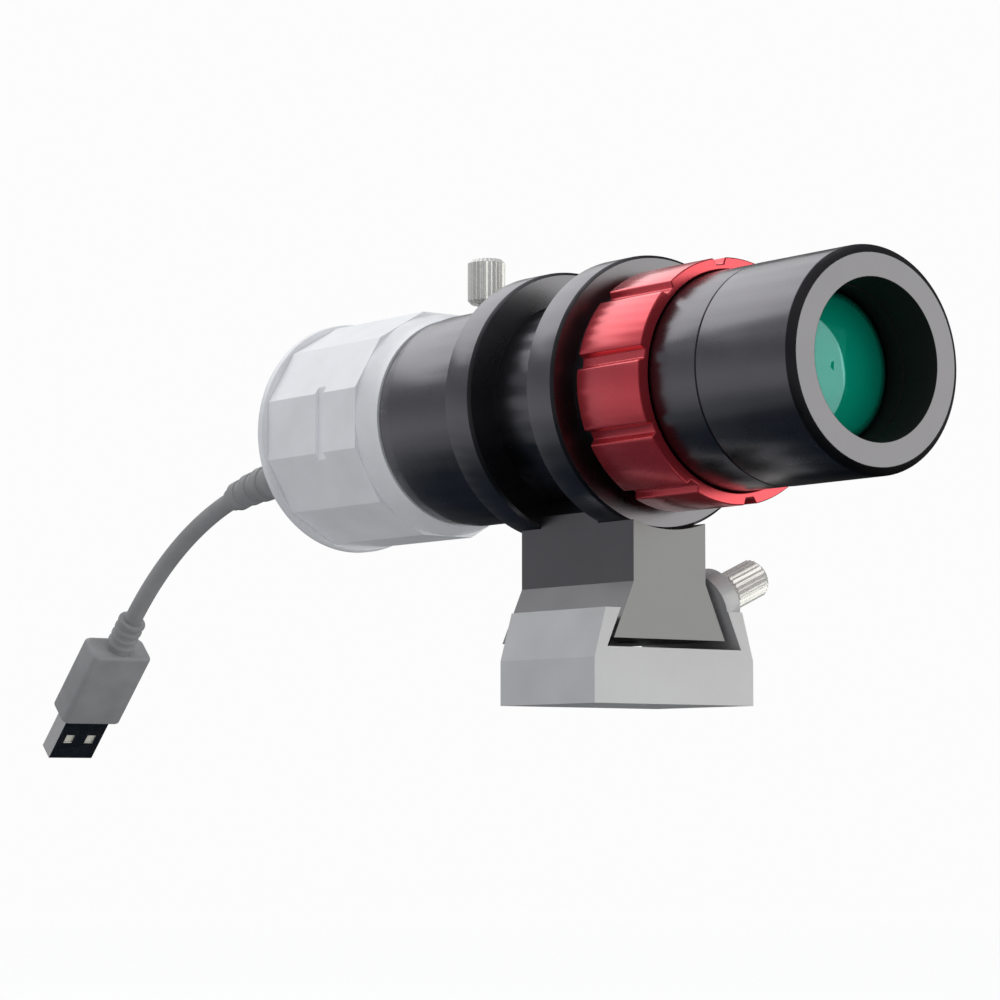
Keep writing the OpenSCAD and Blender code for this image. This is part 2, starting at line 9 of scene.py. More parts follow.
import bmesh
import bpy
import numpy as np
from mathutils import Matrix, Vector

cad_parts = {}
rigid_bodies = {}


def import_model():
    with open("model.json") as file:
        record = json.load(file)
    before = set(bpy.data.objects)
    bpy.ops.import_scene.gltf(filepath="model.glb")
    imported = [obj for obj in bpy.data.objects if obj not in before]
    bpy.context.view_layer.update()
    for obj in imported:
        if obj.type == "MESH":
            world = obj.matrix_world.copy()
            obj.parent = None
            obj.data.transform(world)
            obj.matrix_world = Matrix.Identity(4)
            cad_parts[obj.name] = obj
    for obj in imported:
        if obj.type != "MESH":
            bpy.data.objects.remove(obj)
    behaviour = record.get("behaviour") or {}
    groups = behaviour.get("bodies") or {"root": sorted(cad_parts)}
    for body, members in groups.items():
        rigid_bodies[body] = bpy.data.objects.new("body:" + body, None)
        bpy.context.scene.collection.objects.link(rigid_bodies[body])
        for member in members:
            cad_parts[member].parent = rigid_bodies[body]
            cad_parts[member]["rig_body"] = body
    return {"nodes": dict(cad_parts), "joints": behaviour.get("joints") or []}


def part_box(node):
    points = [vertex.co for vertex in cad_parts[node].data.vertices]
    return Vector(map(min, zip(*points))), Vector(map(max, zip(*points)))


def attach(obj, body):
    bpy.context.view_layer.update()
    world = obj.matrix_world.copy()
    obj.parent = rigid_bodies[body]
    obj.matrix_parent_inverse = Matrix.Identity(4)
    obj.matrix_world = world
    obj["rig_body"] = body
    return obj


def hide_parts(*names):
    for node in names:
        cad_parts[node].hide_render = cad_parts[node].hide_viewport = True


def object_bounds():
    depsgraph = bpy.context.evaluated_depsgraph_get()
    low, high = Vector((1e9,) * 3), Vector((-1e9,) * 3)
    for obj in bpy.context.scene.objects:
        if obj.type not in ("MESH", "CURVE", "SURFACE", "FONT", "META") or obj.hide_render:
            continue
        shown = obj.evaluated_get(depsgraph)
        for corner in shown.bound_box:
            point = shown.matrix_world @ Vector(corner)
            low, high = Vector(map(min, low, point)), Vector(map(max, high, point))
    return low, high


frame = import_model()
cad_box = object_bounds()

MM = 0.001
NODES = frame["nodes"]

# The optical axis runs along X through the middle of the objective cell
cell_low, cell_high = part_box("objective_cell")
AXIS_Z = (cell_low.z + cell_high.z) / 2


# ---------------------------------------------------------------- shader helpers

class Shading:
    """A shader node tree, with the few calls that the finishes and the studio share."""

    def __init__(self, tree):
        self.tree = tree
        self.tree.nodes.clear()

    def node(self, kind, **settings):
        made = self.tree.nodes.new(kind)
        for name, value in settings.items():
            setattr(made, name, value)
        return made

    def join(self, source, target):
        self.tree.links.new(source, target)

    def feed(self, target, value):
        if isinstance(value, bpy.types.NodeSocket):
            self.join(value, target)
        elif target.type == "RGBA" and len(value) == 3:
            target.default_value = (*value, 1)
        else:
            target.default_value = value

    def math(self, operation, *values):
        made = self.node("ShaderNodeMath", operation=operation)
        for target, value in zip(made.inputs, values):
            self.feed(target, value)
        return made.outputs[0]

    def vector(self, operation, *values):
        made = self.node("ShaderNodeVectorMath", operation=operation)
        for target, value in zip(made.inputs, values):
            self.feed(target, value)
        return made.outputs["Value" if operation in ("DOT_PRODUCT", "LENGTH") else "Vector"]

    def mix(self, share, first, second):
        """Colour mix: share 0 gives first and 1 gives second."""
        made = self.node("ShaderNodeMix", data_type="RGBA")
        self.feed(made.inputs["Factor"], share)
        self.feed(made.inputs[6], first)
        self.feed(made.inputs[7], second)
        return made.outputs[2]

    def remap(self, value, low, high, to_low=0.0, to_high=1.0):
        made = self.node("ShaderNodeMapRange", clamp=True)
        for target, amount in zip(made.inputs, (value, low, high, to_low, to_high)):
            self.feed(target, amount)
        return made.outputs[0]

    def split(self, vector):
        """X, Y and Z of a vector."""
        parts = self.node("ShaderNodeSeparateXYZ")
        self.join(vector, parts.inputs[0])
        return parts.outputs["X"], parts.outputs["Y"], parts.outputs["Z"]

    def choose(self, share, first, second):
        """Shader mix: share 0 gives first and 1 gives second."""
        made = self.node("ShaderNodeMixShader")
        self.feed(made.inputs["Fac"], share)
        self.join(first, made.inputs[1])
        self.join(second, made.inputs[2])
        return made.outputs["Shader"]


class Finish(Shading):
    """One procedural material, built round a main shader."""

    def __init__(self, name):
        self.material = bpy.data.materials.new(name)
        self.material.use_nodes = True
        super().__init__(self.material.node_tree)
        self.output = self.node("ShaderNodeOutputMaterial")
        self.shader = self.node("ShaderNodeBsdfPrincipled")
        self.show(self.shader.outputs["BSDF"])
        self.position = self.node("ShaderNodeTexCoord").outputs["Object"]

    def show(self, shader):
        """Makes a shader the surface of the material."""
        self.join(shader, self.output.inputs["Surface"])

    def set(self, **values):
        """Sets inputs of the main shader. Each value is a number, a colour or another node's output."""
        for name, value in values.items():
            self.feed(self.shader.inputs[name.replace("_", " ")], value)

    def noise(self, size, place=None, detail=2.0):
        """Noise with features of about this size in metres."""
        made = self.node("ShaderNodeTexNoise")
        self.feed(made.inputs["Vector"], place or self.position)
        made.inputs["Scale"].default_value = 1 / size
        made.inputs["Detail"].default_value = detail
        return made.outputs["Fac"]

    def bump(self, *layers):
        """Stacks bump layers, each a (height output, depth in metres) pair, onto the main shader."""
        normal = None
        for height, depth in layers:
            made = self.node("ShaderNodeBump")
            made.inputs["Strength"].default_value = 1
            made.inputs["Distance"].default_value = depth
            self.join(height, made.inputs["Height"])
            if normal:
                self.join(normal, made.inputs["Normal"])
            normal = made.outputs["Normal"]
        self.join(normal, self.shader.inputs["Normal"])

    def axis_polar(self):
        """(distance along the optical axis, distance from it), for marks left by turning."""
        along, sideways, upward = self.split(self.position)
        height = self.math("SUBTRACT", upward, AXIS_Z)
        squares = self.math("POWER", sideways, 2.0), self.math("POWER", height, 2.0)
        return along, self.math("SQRT", self.math("ADD", *squares))

    def turning_marks(self, size):
        """Fine rings about the optical axis, on barrels and on faces alike."""
        along, radius = self.axis_polar()
        place = self.node("ShaderNodeCombineXYZ")
        self.join(along, place.inputs["X"])
        self.join(radius, place.inputs["Y"])
        return self.noise(size, place.outputs[0], detail=3.0)

    def streaks(self, size):
        """Noise drawn out fifty times along X, as extrusion leaves it."""
        place = self.vector("MULTIPLY", self.position, (0.02, 1, 1))
        return self.noise(size, place, detail=3.0)


# ---------------------------------------------------------------- finishes

# Everything on the black parts that lies closer to the optical axis than this is blackened
BORE_RADIUS = 15.35 * MM
BORE_FADE = 0.1 * MM
BORE_BLACK = (0.012, 0.012, 0.011)


def anodised(name, colour, roughness, marks="turned", metal=1.0, coat=0.0, blackened_bore=False):
    """Anodised aluminium: cutting marks, blasting grain and faint handling haze under a satin skin."""
    finish = Finish(name)
    tooling = finish.turning_marks(0.12 * MM) if marks == "turned" else finish.streaks(0.15 * MM)
    blast = finish.noise(0.09 * MM, detail=1.0)
    cloud = finish.noise(11 * MM, detail=3.0)
    shade = finish.vector("SCALE", colour)
    finish.join(finish.remap(cloud, 0.3, 0.7, 0.95, 1.05), shade.node.inputs["Scale"])
    rough = finish.math("ADD", roughness, finish.remap(cloud, 0.3, 0.7, -0.03, 0.03))
    if blackened_bore:
        outside = finish.remap(finish.axis_polar()[1], BORE_RADIUS, BORE_RADIUS + BORE_FADE)
        shade = finish.mix(outside, BORE_BLACK, shade)
        rough = finish.math("ADD", finish.remap(outside, 0.0, 1.0, 0.35, 0.0), rough)
        metal = finish.math("MULTIPLY", outside, metal)
    finish.set(Base_Color=shade, Metallic=metal, Roughness=rough)
    finish.set(Coat_Weight=coat, Coat_Roughness=0.22)
    finish.bump((tooling, 0.0012 * MM), (blast, 0.0008 * MM))
    return finish.material


def black_anodised():
    return anodised(
        "black_anodised_satin", colour=(0.215, 0.21, 0.225), roughness=0.28, blackened_bore=True)


def red_anodised():
    return anodised("red_anodised_satin", colour=(0.92, 0.07, 0.095), roughness=0.28, metal=0.75, coat=0.9)


def silver_anodised():
    return anodised("silver_anodised_blasted", colour=(0.93, 0.94, 0.965), roughness=0.42, metal=0.15)


def foot_grey():
    return anodised("black_anodised_extrusion", colour=(0.20, 0.20, 0.205), roughness=0.3, marks="drawn")


def shoe_grey():
    return anodised(
        "grey_anodised_extrusion", colour=(0.63, 0.63, 0.635), roughness=0.45, marks="drawn", metal=0.2)


def black_matt():
    finish = Finish("black_matt_paint")
    grain = finish.noise(0.25 * MM, detail=3.0)
    finish.set(Base_Color=finish.mix(grain, (0.008, 0.008, 0.009), (0.022, 0.022, 0.022)), Roughness=0.7)
    finish.bump((grain, 0.01 * MM))
    return finish.material


def plated(name, colour, roughness, smear, metal=1.0):
    """Bright plated or polished metal with faint handling smears."""
    finish = Finish(name)
    haze = finish.remap(finish.noise(2.5 * MM, detail=4.0), 0.35, 0.7, 0, smear)
    lines = finish.noise(0.08 * MM, detail=2.0)
    tarnish = finish.remap(finish.noise(1.2 * MM, detail=3.0), 0.4, 0.75, 0.0, 0.25)
    dull = tuple(0.8 * level for level in colour)
    finish.set(Base_Color=finish.mix(tarnish, colour, dull), Metallic=metal)
    finish.set(Roughness=finish.math("ADD", roughness, haze))
    finish.bump((lines, 0.001 * MM))
    return finish.material


def nickel():
    return plated("bright_nickel", colour=(0.98, 0.97, 0.93), roughness=0.2, smear=0.12, metal=0.35)


def plated_steel():
    return plated("plated_steel", colour=(0.80, 0.80, 0.78), roughness=0.24, smear=0.1)


def brass():
    return plated("spring_brass", colour=(0.83, 0.62, 0.27), roughness=0.24, smear=0.15)


def black_steel():
    return plated("blackened_steel", colour=(0.10, 0.10, 0.105), roughness=0.34, smear=0.12)


def moulded(name, light, dark, roughness, grain_size, depth, glow=0.0):
    """Moulded plastic or rubber: fine grain, cloudy tone and a soft sheen."""
    finish = Finish(name)
    grain = finish.noise(grain_size, detail=2.0)
    cloud = finish.remap(finish.noise(6 * MM, detail=3.0), 0.3, 0.7)
    finish.set(Base_Color=finish.mix(cloud, dark, light), Subsurface_Weight=glow)
    finish.set(Roughness=finish.math("ADD", roughness, finish.remap(grain, 0.3, 0.7, -0.06, 0.06)))
    finish.bump((grain, depth))
    return finish.material


def nylon():
    return moulded(
        "natural_nylon", light=(0.83, 0.80, 0.70), dark=(0.76, 0.72, 0.61),
        roughness=0.4, grain_size=0.3 * MM, depth=0.004 * MM, glow=0.2)


def ivory_plastic():
    return moulded(
        "ivory_plastic", light=(0.80, 0.78, 0.70), dark=(0.74, 0.71, 0.62),
        roughness=0.38, grain_size=0.2 * MM, depth=0.003 * MM)


def cable_rubber():
    return moulded(
        "grey_cable_rubber", light=(0.335, 0.335, 0.34), dark=(0.285, 0.285, 0.29),
        roughness=0.5, grain_size=0.22 * MM, depth=0.008 * MM)


def sensor_package():
    finish = Finish("sensor_package_glass")
    sheen = finish.noise(3 * MM)
    finish.set(Base_Color=finish.mix(sheen, (0.03, 0.02, 0.05), (0.02, 0.05, 0.06)), Roughness=0.12)
    finish.set(Coat_Weight=1.0, Coat_Roughness=0.03)
    return finish.material


TRACK_SPACING = 2.2 * MM


def circuit_board():
    """Solder mask with copper tracks showing through as paler green lines."""
    finish = Finish("green_circuit_board")
    tracks = finish.node("ShaderNodeTexVoronoi", distance="MANHATTAN", feature="DISTANCE_TO_EDGE")
    finish.join(finish.position, tracks.inputs["Vector"])
    tracks.inputs["Scale"].default_value = 1 / TRACK_SPACING
    copper = finish.remap(tracks.outputs["Distance"], 0.08, 0.05)
    finish.set(Base_Color=finish.mix(copper, (0.004, 0.07, 0.03), (0.015, 0.16, 0.06)), Roughness=0.3)
    finish.bump((copper, 0.03 * MM))
    return finish.material


# The coating's straight-on patch, partly its real greyer colour and partly a painted reflection: how straight
# on it begins (the cosine of the slant), its fade and its painted bright arc highlight
GHOST_EDGE = 0.7
GHOST_FADE = 0.006
PAINTED_ARC_START = 0.008
PAINTED_ARC_END = 0.012
# The coating's haze fades out into a painted shade between these distances from the optical axis, standing in
# for the shade that the cell's interior casts on the lens's edge
LENS_EDGE_SHADE_START_RADIUS = 12.8 * MM
LENS_EDGE_SHADE_FULL_RADIUS = 14.6 * MM
# Colour of the painted shade at the lens's edge
LENS_EDGE_PAINTED_SHADE = (0.004, 0.01, 0.008)


def glass(name, tint, sheen, sheen_strength, painted_ghost, painted_ghost_strength, haze):
    """Lens glass with an anti-reflection coating, whose colour turns greyer where it is seen straight on;
    there its mirror is also made stronger, a painted reflection.

    sheen is the colour of the slanting view and painted_ghost that of the straight view, each with its
    strength; a thin band along the edge of the straight view gets the straight view's strength twice over, a
    painted highlight arc. haze is how much of the sheen's colour the coating scatters; towards the lens's
    edge that scattered colour turns dark, a painted shade.
    """
    finish = Finish(name)
    smudge = finish.remap(finish.noise(5 * MM, detail=4.0), 0.45, 0.75, 0.0, 0.05)
    finish.set(Base_Color=tint, Transmission_Weight=1.0, IOR=1.5, Roughness=smudge)
    facing = finish.node("ShaderNodeNewGeometry")
    slant = finish.vector("DOT_PRODUCT", facing.outputs["Normal"], facing.outputs["Incoming"])
    straight = finish.remap(slant, GHOST_EDGE, GHOST_EDGE + GHOST_FADE)
    near_edge = finish.remap(slant, GHOST_EDGE + PAINTED_ARC_END, GHOST_EDGE + PAINTED_ARC_START)
    # Painted highlight: a thin bright arc along the edge of the straight-on patch
    painted_arc_glint = finish.math("MULTIPLY", straight, near_edge)
    mirror = finish.node("ShaderNodeBsdfGlossy")
    finish.feed(mirror.inputs["Color"], finish.mix(straight, sheen, painted_ghost))
    mirror.inputs["Roughness"].default_value = 0.05
    # Painted reflection: seen straight on, the mirror is made stronger and greyer
    strength = finish.remap(straight, 0.0, 1.0, sheen_strength, painted_ghost_strength)
    strength = finish.math("ADD", strength, finish.math("MULTIPLY", painted_arc_glint, painted_ghost_strength))
    coated = finish.choose(strength, finish.shader.outputs["BSDF"], mirror.outputs["BSDF"])
    veil = finish.node("ShaderNodeBsdfDiffuse")
    # Painted shade: towards the lens's edge the haze's colour turns dark
    haze_unshaded = finish.remap(finish.axis_polar()[1], LENS_EDGE_SHADE_FULL_RADIUS, LENS_EDGE_SHADE_START_RADIUS)
    finish.feed(veil.inputs["Color"], finish.mix(haze_unshaded, LENS_EDGE_PAINTED_SHADE, sheen))
    finish.show(finish.choose(haze, coated, veil.outputs["BSDF"]))
    return finish.material


def coated_glass():
    return glass(
        "green_coated_glass", tint=(0.2, 0.6, 0.5), sheen=(0.002, 0.75, 0.48), sheen_strength=0.1,
        painted_ghost=(0.3, 0.65, 0.67), painted_ghost_strength=0.26, haze=0.42)


def clear_glass():
    return glass(
        "clear_coated_glass", tint=(0.92, 0.98, 0.96), sheen=(0.35, 0.85, 0.75), sheen_strength=0.05,
        painted_ghost=(0.5, 0.8, 0.8), painted_ghost_strength=0.06, haze=0.0)


FINISHES = {
    make.__name__: make
    for make in (
        black_anodised, black_matt, red_anodised, silver_anodised, shoe_grey, foot_grey,
        nickel, plated_steel, black_steel, brass, nylon, coated_glass, clear_glass,
        circuit_board, sensor_package, ivory_plastic, cable_rubber,
    )
}
made_finishes = {}


def finish_for(slot):
    if slot not in made_finishes:
        made_finishes[slot] = FINISHES[slot]()
    return made_finishes[slot]


# ---------------------------------------------------------------- CAD nodes

SMOOTH_NODES = ("crown_lens", "flint_lens")
DEFAULT_EDGE_RADIUS = 0.18 * MM
EDGE_RADIUS = {
    "focus_lock_ring": 0.3 * MM,
    "plug_shell": 0.08 * MM,
    "focus_tube": 0.07 * MM,
    "cover_screws": 0.1 * MM,
    "board_screws": 0.1 * MM,
}
STEEL_NODES = ("plug_shell", "cover_screws", "board_screws")


def dress_node(name, node):
    """Gives a CAD node its finish and rounds its edges with modifiers; its own mesh stays as packed."""
    for place in node.material_slots:
        place.material = finish_for("plated_steel" if name in STEEL_NODES else place.material.name)
    if name in SMOOTH_NODES:
        return
    weld = node.modifiers.new("weld", "WELD")
    weld.merge_threshold = 0.001 * MM
    flatten = node.modifiers.new("flatten", "DECIMATE")
    flatten.decimate_type = "DISSOLVE"
    flatten.angle_limit = math.radians(0.4)
    round_edges = node.modifiers.new("round_edges", "BEVEL")
    round_edges.width = EDGE_RADIUS.get(name, DEFAULT_EDGE_RADIUS)
    round_edges.segments = 3
    round_edges.limit_method = "ANGLE"
    round_edges.angle_limit = math.radians(25)
    round_edges.harden_normals = True


for name, node in NODES.items():
    dress_node(name, node)


# ---------------------------------------------------------------- own pieces

def ring_mesh(rings, loop=False):
    """(vertices, faces) of a skin over rings of equally many points; it ends in caps unless it is a loop."""
    count = len(rings[0])
    vertices = [point for ring in rings for point in ring]
    faces = []
    for i in range(len(rings) if loop else len(rings) - 1):
        here = i * count
        there = (i + 1) % len(rings) * count
        for k in range(count):
            after = (k + 1) % count
            faces.append((here + k, here + after, there + after, there + k))
    if not loop:
        faces.append(tuple(reversed(range(count))))
        faces.append(tuple(range(len(vertices) - count, len(vertices))))
    return vertices, faces


def add_piece(name, rings, node, slot, loop=False, sharp=40):
    """Makes a piece from rings, in place of a CAD node and riding on the same body.

    Edges that turn by more than sharp degrees stay crisp.
    """
    vertices, faces = ring_mesh(rings, loop)
    mesh = bpy.data.meshes.new(name)
    mesh.from_pydata(vertices, [], faces)
    body = bmesh.new()
    body.from_mesh(mesh)
    bmesh.ops.recalc_face_normals(body, faces=body.faces)
    body.to_mesh(mesh)
    body.free()
    mesh.polygons.foreach_set("use_smooth", [True] * len(mesh.polygons))
    mesh.set_sharp_from_angle(angle=math.radians(sharp))
    mesh.materials.append(finish_for(slot))
    made = bpy.data.objects.new(name, mesh)
    bpy.context.scene.collection.objects.link(made)
    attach(made, NODES[node]["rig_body"])
    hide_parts(node)


def rounded_outline(half_w, half_d, corner, per_corner):
    """Points round a rectangle with round corners; equal half sizes and corner give a circle."""
    points = []
    for quarter, (sx, sy) in enumerate(((1, 1), (-1, 1), (-1, -1), (1, -1))):
        for i in range(per_corner):
            angle = math.radians(90) * (quarter + (i + 0.5) / per_corner)
            x = sx * (half_w - corner) + corner * math.cos(angle)
            y = sy * (half_d - corner) + corner * math.sin(angle)
            points.append((x, y))
    return points


# Thumbscrews, with straight flutes and an M4 thread
KNOB_RADIUS = 4.0 * MM
KNOB_LENGTH = 9.6 * MM
KNOB_CHAMFER = 0.75 * MM
FLUTE_COUNT = 24
FLUTE_DEPTH = 0.34 * MM
POINTS_PER_FLUTE = 6
SCREW_RADIUS = 2.0 * MM
SCREW_PITCH = 0.7 * MM
THREAD_DEPTH = 0.38 * MM
# How far the thread's triangle wave overshoots, so that crest and root come out flat
THREAD_FLAT = 0.15
THREAD_STEPS = 8
TIP_BORE_RADIUS = 1.42 * MM
TIP_BORE_DEPTH = 2.5 * MM
# The flutes run out to this share of their depth at the head's chamfers
FLUTE_RUNOUT = 0.2
# Shallow dish in the head's top face
RIM_RADIUS = KNOB_RADIUS - KNOB_CHAMFER
DISH_RADIUS = 0.8 * RIM_RADIUS
DISH_FLOOR_RADIUS = 0.74 * RIM_RADIUS
DISH_DEPTH = 0.15 * MM


def thread_dip(turn):
    """Depth share of the thread groove at a number of turns: 0 on its flat crest, 1 in its flat root."""
    wave = abs(2 * (turn % 1) - 1)
    return min(1, max(0, (1 + 2 * THREAD_FLAT) * wave - THREAD_FLAT))


def thumbscrew(name, node, hinge):
    """Thumbscrew from its tip bore, up its thread, to the chamfered top of its fluted head."""
    centre = Vector(hinge["pos_m"])
    axis = Vector(hinge["axis"]).normalized()
    heights = [(vertex.co - centre).dot(axis) for vertex in NODES[node].data.vertices]
    start, top = min(heights), max(heights)
    knob = top - KNOB_LENGTH
    side = axis.cross(Vector((1, 0, 0))).normalized()
    other = axis.cross(side)
    points = FLUTE_COUNT * POINTS_PER_FLUTE
    angles = [2 * math.pi * k / points for k in range(points)]

    def ring(height, radius):
        return [
            centre + axis * height + (side * math.cos(angle) + other * math.sin(angle)) * radius(angle)
            for angle in angles
        ]

    def plain(radius):
        return lambda angle: radius

    def threaded(height, fade):
        """Thread radius at a height, fading to the root at the screw's end."""
        return lambda angle: SCREW_RADIUS - THREAD_DEPTH * max(
            fade, thread_dip(height / SCREW_PITCH - angle / (2 * math.pi)))

    def fluted(radius, share):
        """Head radius with straight grooves of a share of their full depth."""
        return lambda angle: radius - share * FLUTE_DEPTH * (1 + math.cos(FLUTE_COUNT * angle)) / 2

    bore = start + TIP_BORE_DEPTH
    rings = [ring(bore, plain(TIP_BORE_RADIUS)), ring(start, plain(TIP_BORE_RADIUS))]
    steps = int((knob - start) / SCREW_PITCH * THREAD_STEPS)
    for i in range(steps + 1):
        height = start + (knob - start) * i / steps
        rings.append(ring(height, threaded(height, max(0, 1 - i / THREAD_STEPS))))
    rings.append(ring(knob, fluted(RIM_RADIUS, FLUTE_RUNOUT)))
    rings.append(ring(knob + KNOB_CHAMFER, fluted(KNOB_RADIUS, 1)))
    rings.append(ring(top - KNOB_CHAMFER, fluted(KNOB_RADIUS, 1)))
    rings.append(ring(top, fluted(RIM_RADIUS, FLUTE_RUNOUT)))
    rings.append(ring(top, plain(DISH_RADIUS)))
    rings.append(ring(top - DISH_DEPTH, plain(DISH_FLOOR_RADIUS)))
    add_piece(name, rings, node, "nickel", sharp=32)


HINGES = {joint["child"]: joint for joint in frame["joints"] if joint["type"] == "hinge"}
for place in ("front_shoe", "rear_shoe", "holder"):
    thumbscrew(place + "_fluted_screw", place + "_thumbscrew", HINGES[place + "_screw"])


# Cable: straight out of the camera, then down in an arc and straight into the plug
CABLE_RADIUS = 2.1 * MM
CABLE_BEND = 100 * MM
CABLE_END_SLOPE = math.radians(45)
CABLE_BURIED = 17.9 * MM
CABLE_STEPS = 60
BEND_END = CABLE_BEND * CABLE_END_SLOPE
GAP = 0.05 * MM
BORE = CABLE_RADIUS + GAP
SOFT_EDGE = 0.3 * MM
CORNER_POINTS = 12

# Boot: a collar inside the camera, a neck through its cover, a flange on it, and ribs that taper
BOOT_STRAIGHT = 5.6 * MM
BOOT_RADIUS = 4.6 * MM
COLLAR_LENGTH = 1.4 * MM
COLLAR_RADIUS = BOOT_RADIUS + 0.25 * MM
NECK_RADIUS = BOOT_RADIUS - 0.2 * MM
FLANGE_END = 0.4 * MM
FLANGE_RADIUS = BOOT_RADIUS + 0.3 * MM
BOOT_RIBS = 5
BOOT_RIB_STEP = 0.3 * MM
BOOT_GROOVE = 0.7 * MM
BOOT_SLOPE = math.radians(15)
BOOT_RIB_PITCH = CABLE_BEND * BOOT_SLOPE / BOOT_RIBS
BOOT_BORE_STEPS = 24
FIRST_RIB_START = 0.6 * MM
# Where a rib ends and its groove begins and ends, in rib pitches
RIB_END = 0.55
GROOVE_ENDS = (0.6, 0.95)

cover_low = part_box("camera_rear_cover")[0]
cable_low, cable_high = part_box("camera_cable")
CABLE_Y = (cable_low.y + cable_high.y) / 2
CABLE_ROOT = Vector((cover_low.x - BOOT_STRAIGHT, CABLE_Y, cable_high.z - CABLE_RADIUS))


def cable_place(distance):
    """(point, heading, upward normal) at a distance along the cable from where its bend begins."""
    bend = min(max(distance, 0) / CABLE_BEND, CABLE_END_SLOPE)
    heading = Vector((-math.cos(bend), 0, -math.sin(bend)))
    normal = Vector((-math.sin(bend), 0, math.cos(bend)))
    point = CABLE_ROOT + Vector((-math.sin(bend), 0, math.cos(bend) - 1)) * CABLE_BEND
    straight = distance - bend * CABLE_BEND
    return point + heading * straight, heading, normal


def cable_ring(distance, outline):
    """Outline of (across, up) points set square across the cable at a distance along it."""
    point, heading, normal = cable_place(distance)
    across = heading.cross(normal)
    return [point + across * x + normal * y for x, y in outline]


def round_ring(distance, radius, per_corner=CORNER_POINTS):
    return cable_ring(distance, rounded_outline(radius, radius, radius, per_corner))


def cable():
    start = CABLE_ROOT.x - cable_high.x
    length = BEND_END + CABLE_BURIED - start
    places = [start + length * i / CABLE_STEPS for i in range(CABLE_STEPS + 1)]
    rings = [round_ring(place, CABLE_RADIUS, per_corner=8) for place in places]
    add_piece("smooth_cable", rings, "camera_cable", "cable_rubber")


def soft_band(start, end, radius):
    """(distance, radius) points of a raised band with soft edges."""
    edge = SOFT_EDGE
    middle = 0.3 * SOFT_EDGE
    return [
        (start, radius - edge),
        (start + middle, radius - middle),
        (start + edge, radius),
        (end - edge, radius),
        (end - middle, radius - middle),
        (end, radius - edge),
    ]


def boot():
    """Strain relief from its collar inside the camera to the end of its ribs, with a bore for the cable."""
    outer_face = -BOOT_STRAIGHT
    cover_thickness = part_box("camera_housing")[0].x - cover_low.x
    collar_back = outer_face - cover_thickness - GAP
    profile = [
        (collar_back - COLLAR_LENGTH, COLLAR_RADIUS),
        (collar_back, COLLAR_RADIUS),
        (collar_back, NECK_RADIUS),
        (outer_face + GAP, NECK_RADIUS),
    ]
    profile += soft_band(outer_face + GAP, FLANGE_END, FLANGE_RADIUS)
    for i in range(BOOT_RIBS):
        radius = BOOT_RADIUS - BOOT_RIB_STEP * i
        start = i * BOOT_RIB_PITCH if i else FIRST_RIB_START
        profile += soft_band(start, (i + RIB_END) * BOOT_RIB_PITCH, radius)
        profile += [((i + end) * BOOT_RIB_PITCH, radius - BOOT_GROOVE) for end in GROOVE_ENDS]
    begin = profile[0][0]
    end = profile[-1][0]
    profile += [(end + (begin - end) * i / BOOT_BORE_STEPS, BORE) for i in range(BOOT_BORE_STEPS + 1)]
    rings = [round_ring(distance, radius) for distance, radius in profile]
    add_piece("ribbed_boot", rings, "cable_boot", "cable_rubber", loop=True)


# Plug: its moulded block, the ribbed relief on the cable's side and the recess for its metal shell
PLUG_WIDTH = 16 * MM
PLUG_THICKNESS = 8 * MM
PLUG_LENGTH = 22 * MM
PLUG_CORNER = 1.6 * MM
BACK_ROUND = 1.0 * MM
FRONT_ROUND = 0.6 * MM
ROUND_STEPS = 4
RELIEF_LENGTH = 9 * MM
RELIEF_RADIUS = 3.4 * MM
RELIEF_GROOVE = 0.5 * MM
RELIEF_RIBS = 4
RELIEF_RIB_WIDTH = 1.1 * MM
# Where a relief groove begins and ends, in rib widths
RELIEF_GROOVE_ENDS = (1.1, 1.9)
SHELL_WIDTH = 12 * MM
SHELL_THICKNESS = 4.5 * MM
SHELL_BURIED = 6 * MM


def plug_body():
    """Moulded grip of the plug: ribbed relief, soft-edged block and the recess that holds the metal shell."""
    def block(distance, inset):
        half_w = PLUG_WIDTH / 2 - inset
        half_d = PLUG_THICKNESS / 2 - inset
        return cable_ring(BEND_END + distance, rounded_outline(half_w, half_d, PLUG_CORNER, CORNER_POINTS))

    def recess(distance):
        half_w = SHELL_WIDTH / 2 + GAP
        half_d = SHELL_THICKNESS / 2 + GAP
        return cable_ring(BEND_END + distance, rounded_outline(half_w, half_d, GAP, CORNER_POINTS))

    thin = RELIEF_RADIUS - RELIEF_GROOVE
    profile = []
    for i in range(RELIEF_RIBS):
        start = 2 * i * RELIEF_RIB_WIDTH
        profile += soft_band(start, start + RELIEF_RIB_WIDTH, RELIEF_RADIUS)
        profile += [(start + end * RELIEF_RIB_WIDTH, thin) for end in RELIEF_GROOVE_ENDS]
    rings = [round_ring(BEND_END + CABLE_BURIED + GAP, BORE), round_ring(BEND_END, BORE)]
    rings += [round_ring(BEND_END + distance, radius) for distance, radius in profile]
    rings.append(round_ring(BEND_END + RELIEF_LENGTH, thin))
    front = RELIEF_LENGTH + PLUG_LENGTH
    turns = [math.radians(90) * i / ROUND_STEPS for i in range(ROUND_STEPS + 1)]
    for turn in turns:
        inset = BACK_ROUND * (1 - math.sin(turn))
        rings.append(block(RELIEF_LENGTH + BACK_ROUND * (1 - math.cos(turn)), inset))
    for turn in turns:
        inset = FRONT_ROUND * (1 - math.cos(turn))
        rings.append(block(front - FRONT_ROUND * (1 - math.sin(turn)), inset))
    rings.append(recess(front))
    rings.append(recess(front - SHELL_BURIED))
    add_piece("plug_grip", rings, "plug_overmold", "cable_rubber")


cable()
boot()
plug_body()


# ---------------------------------------------------------------- studio

